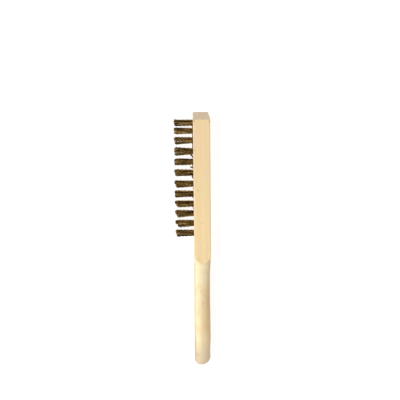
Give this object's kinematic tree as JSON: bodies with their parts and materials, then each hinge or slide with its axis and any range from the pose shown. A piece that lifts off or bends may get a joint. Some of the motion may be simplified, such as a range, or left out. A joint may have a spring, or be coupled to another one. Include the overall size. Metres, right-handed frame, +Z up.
{
  "type": "wire brush",
  "caption": "Straight hand wire brush: a wooden stick with a rounded grip and rows of short crimped wire tufts stapled into one narrow face of its head.",
  "frame": {"origin": "on the ground under the middle of the brush's bounding box, with the brush lying on one side face of its head", "axes": "+Y along the stick from the butt to the toe, -X the way the wire points, +X the back of the stick, +Z up across the stick's width"},
  "size_m": [0.0324, 0.2574, 0.019],
  "materials": {
    "handle_wood": "raw, smooth-sanded pale wood",
    "wire": "dull brassy brown crimped wire",
    "staple_steel": "bare drawn steel wire"
  },
  "bodies": {
    "root": {"handle": "handle_wood", "tuft_row1_01": "wire", "tuft_row1_02": "wire", "tuft_row1_03": "wire", "tuft_row1_04": "wire", "tuft_row1_05": "wire", "tuft_row1_06": "wire", "tuft_row1_07": "wire", "tuft_row1_08": "wire", "tuft_row1_09": "wire", "tuft_row1_10": "wire", "tuft_row1_11": "wire", "tuft_row1_12": "wire", "tuft_row2_01": "wire", "tuft_row2_02": "wire", "tuft_row2_03": "wire", "tuft_row2_04": "wire", "tuft_row2_05": "wire", "tuft_row2_06": "wire", "tuft_row2_07": "wire", "tuft_row2_08": "wire", "tuft_row2_09": "wire", "tuft_row2_10": "wire", "tuft_row2_11": "wire", "tuft_row2_12": "wire", "staple_row1_01": "staple_steel", "staple_row1_02": "staple_steel", "staple_row1_03": "staple_steel", "staple_row1_04": "staple_steel", "staple_row1_05": "staple_steel", "staple_row1_06": "staple_steel", "staple_row1_07": "staple_steel", "staple_row1_08": "staple_steel", "staple_row1_09": "staple_steel", "staple_row1_10": "staple_steel", "staple_row1_11": "staple_steel", "staple_row1_12": "staple_steel", "staple_row2_01": "staple_steel", "staple_row2_02": "staple_steel", "staple_row2_03": "staple_steel", "staple_row2_04": "staple_steel", "staple_row2_05": "staple_steel", "staple_row2_06": "staple_steel", "staple_row2_07": "staple_steel", "staple_row2_08": "staple_steel", "staple_row2_09": "staple_steel", "staple_row2_10": "staple_steel", "staple_row2_11": "staple_steel", "staple_row2_12": "staple_steel"}
  },
  "joints": []
}
